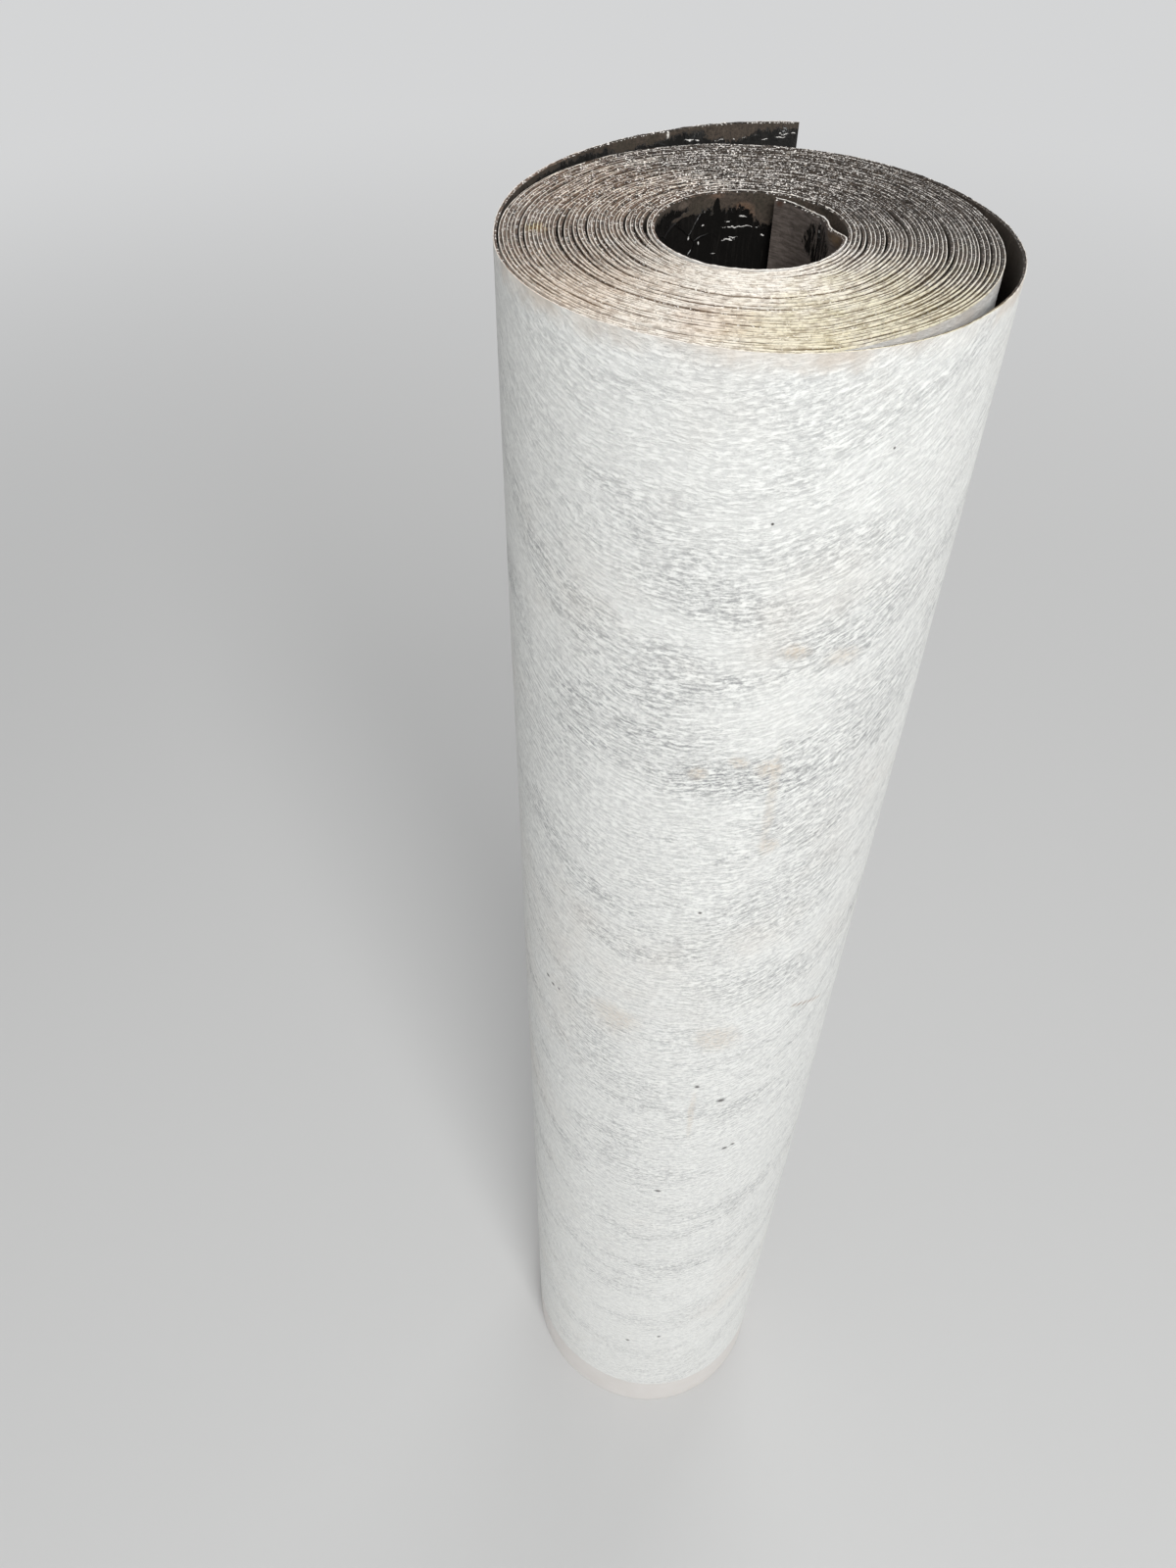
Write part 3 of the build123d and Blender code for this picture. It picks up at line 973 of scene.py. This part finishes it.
loose = loose_plan()
corners = np.concatenate([loose[0], loose[1]])
low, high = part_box("felt_roll")
middle_of_cad = np.array([low.x + high.x, low.y + high.y]) / 2 * 1000
PLAN_SHIFT = middle_of_cad - (corners.min(0) + corners.max(0)) / 2

cut_edge_and_gap_shade = edge_material()
rim = rim_material("fleece_rim", 1.0, (0.94, 0.89, 0.805))
inner_rim = rim_material("fleece_rim_inner", 0.0, (0.97, 0.93, 0.87))
loose_rim = rim_material("fleece_rim_loose", 1.0, (0.90, 0.85, 0.79), 0.682)

loose_run = run_length(loose[1]) / 1000
loose_angle = np.degrees(np.arctan2(loose[1][:, 1], loose[1][:, 0])) % 360


def place_on_wall(angle, height):
    """Where a place on the roll's outer wall is on the sheet."""
    off = around(loose_angle, angle)
    near = np.abs(off).argmin()
    radius = np.hypot(*loose[1][near]) / 1000
    return float(loose_run[near] + radians(off[near]) * radius), height / 1000


marks = [(place_on_wall(a, h), (w / 1000, t / 1000), much, tone) for a, h, w, t, much, tone in MARKS]
wall_fleece = fleece_material("fleece_wall", marks, place_on_wall(LEAN_ANGLE, 0)[0], LEAN)
plain_fleece = fleece_material("fleece")

flap_film = film_material("film_flap", (0.34, 40.0), (0.50, 4.0), FLAP_DUST, FLAP_PAINTED_HIGHLIGHTS, FLAP_FLECKS)
coil = build_coil([plain_fleece, cut_edge_and_gap_shade, flap_film, rim])


def wall_bend(run, z):
    """The loose turn's wall isn't true: shallow waves along and up it."""
    return 0.22 * field_noise(run / 0.11, z / 140, 41) + 0.09 * field_noise(run / 0.04, z / 45, 42)


def wall_film(run, z):
    return 0.10 * field_noise(run / 0.012, z / 14, 43)


def no_bend(run, z):
    return 0.0 * run * z


def bore_film(run, z):
    return (0.20 * field_noise(run / 0.016, z / 13, 44)
            + 0.10 * field_noise(run / 0.007, z / 6, 45))


outer_rows = np.linspace(0, 1, 101)
outer_piece = build_sheet(
    "felt_outer_turn", loose, outer_rows, wall_bend, wall_film,
    [wall_fleece, cut_edge_and_gap_shade, flap_film, loose_rim], 32, 0.0, TOP_PROFILE)

inner_rows = np.append(np.linspace(0, 0.8, 60, endpoint=False), np.linspace(0.8, 1, 81))
inner = inner_plan()
crease = INNER_RUN + run_length(inner[1])[(inner[2] < INNER_START).sum()] / 1000
bore_face = film_material("film_bore", (20.170, 3.0), (20.215, 7.5), BORE_DUST, BORE_PAINTED_HIGHLIGHTS,
                          BORE_STAINS, (INNER_RUN, crease))
on_tongue = np.clip((INNER_START + 8 - inner[2]) / 8, 0, 1)
inner_piece = build_sheet(
    "felt_inner_turn", inner, inner_rows, no_bend, bore_film,
    [plain_fleece, cut_edge_and_gap_shade, bore_face, inner_rim], 33, INNER_RUN, INNER_PROFILE,
    0.16 * on_tongue)

for piece in (coil, outer_piece, inner_piece):
    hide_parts("felt_roll")
    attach(piece, "root")


# The floor, the light and the camera

# The floor as it lights the roll and as it is seen, and where it fades into the backdrop
FLOOR, FLOOR_SEEN = (0.72, 0.72, 0.71), (0.59, 0.59, 0.585)
FLOOR_REACH = 30.0
BACKDROP = (0.66, 0.665, 0.67, 1)
BACKDROP_FROM, BACKDROP_TO = 1.0, 3.6
SKY = (0.95, 0.96, 0.97, 1)
# How bright the sky is as it lights the roll and as it is seen
SKY_LIGHT, SKY_SEEN = 0.40, 0.95
# Each lamp's place, size and power, all turned towards AIM
LAMPS = {
    "key": ((0.95, -2.55, 3.0), 1.6, 114), "fill": ((-2.6, -1.2, 2.2), 1.8, 2),
    "back": ((0.6, 2.6, 2.4), 1.6, 22), "low_back": ((-1.1, 6.2, 0.95), 1.8, 66),
}
AIM = (0, 0, 0.6)
# The camera's yaw, pitch and roll in degrees, its place, and its lens on film of FILM_HEIGHT
CAMERA_TURN = (-7.12, 45.76, -0.79)
CAMERA_PLACE = (-0.00215, -0.47575, 1.1734)
CAMERA_LENS, FILM_HEIGHT = 27.44, 36


def seen_share(s):
    """1 where the camera looks straight or by a reflection, and 0 for light on its way."""
    path = s.node("ShaderNodeLightPath").outputs
    return s.math("MAXIMUM", path["Is Camera Ray"], path["Is Glossy Ray"])


def floor_material():
    """A matt pale floor. The camera sees it a shade darker, and as a plain backdrop far away."""
    s = new_shader("pale_floor")
    seen = seen_share(s)
    far = s.times(s.span(s.length(s.solid()), BACKDROP_FROM, BACKDROP_TO), seen)
    ground = s.mix(seen, FLOOR, FLOOR_SEEN)
    lit = s.node("ShaderNodeBsdfDiffuse", {"Color": ground}).outputs[0]
    pale = s.node("ShaderNodeEmission", {"Color": BACKDROP}).outputs[0]
    mixed = s.node("ShaderNodeMixShader", {0: far, 1: lit, 2: pale}).outputs[0]
    s.node("ShaderNodeOutputMaterial", {"Surface": mixed})
    return s.owner


def floor_and_light():
    mesh = bpy.data.meshes.new("floor")
    corners = [(x * FLOOR_REACH, y * FLOOR_REACH, 0) for x, y in ((-1, -1), (1, -1), (1, 1), (-1, 1))]
    mesh.from_pydata(corners, [], [(0, 1, 2, 3)])
    mesh.materials.append(floor_material())
    floor = bpy.data.objects.new("floor", mesh)
    bpy.context.scene.collection.objects.link(floor)

    world = bpy.data.worlds.new("studio")
    bpy.context.scene.world = world
    s = Shader(world)
    strength = s.ramp(seen_share(s), 0.0, 1.0, SKY_LIGHT, SKY_SEEN)
    sky = s.node("ShaderNodeBackground", {"Color": SKY, "Strength": strength}).outputs[0]
    s.node("ShaderNodeOutputWorld", {"Surface": sky})

    for name, (place, size, power) in LAMPS.items():
        lamp = bpy.data.lights.new(name, "AREA")
        lamp.size = size
        lamp.energy = power
        light = bpy.data.objects.new(name, lamp)
        bpy.context.scene.collection.objects.link(light)
        light.location = place
        away = Vector(place) - Vector(AIM)
        light.rotation_euler = away.to_track_quat("Z", "Y").to_euler()


def camera():
    """The photograph's own view, worked out from the roll's rims and foot."""
    yaw, pitch, roll = [radians(angle) for angle in CAMERA_TURN]
    ahead = np.array([sin(yaw) * cos(pitch), cos(yaw) * cos(pitch), -sin(pitch)])
    level = np.array([cos(yaw), -sin(yaw), 0])
    down = np.cross(ahead, level)
    right = cos(roll) * level + sin(roll) * down
    down = -sin(roll) * level + cos(roll) * down
    lens = bpy.data.cameras.new("camera")
    lens.sensor_fit = "VERTICAL"
    lens.sensor_height = FILM_HEIGHT
    lens.lens = CAMERA_LENS
    lens.clip_start = 0.01
    view = bpy.data.objects.new("camera", lens)
    bpy.context.scene.collection.objects.link(view)
    axes = Matrix((right, -down, -ahead)).transposed().to_4x4()
    view.matrix_world = Matrix.Translation(CAMERA_PLACE) @ axes
    bpy.context.scene.camera = view


floor_and_light()
camera()
bpy.context.scene.view_settings.view_transform = "Standard"
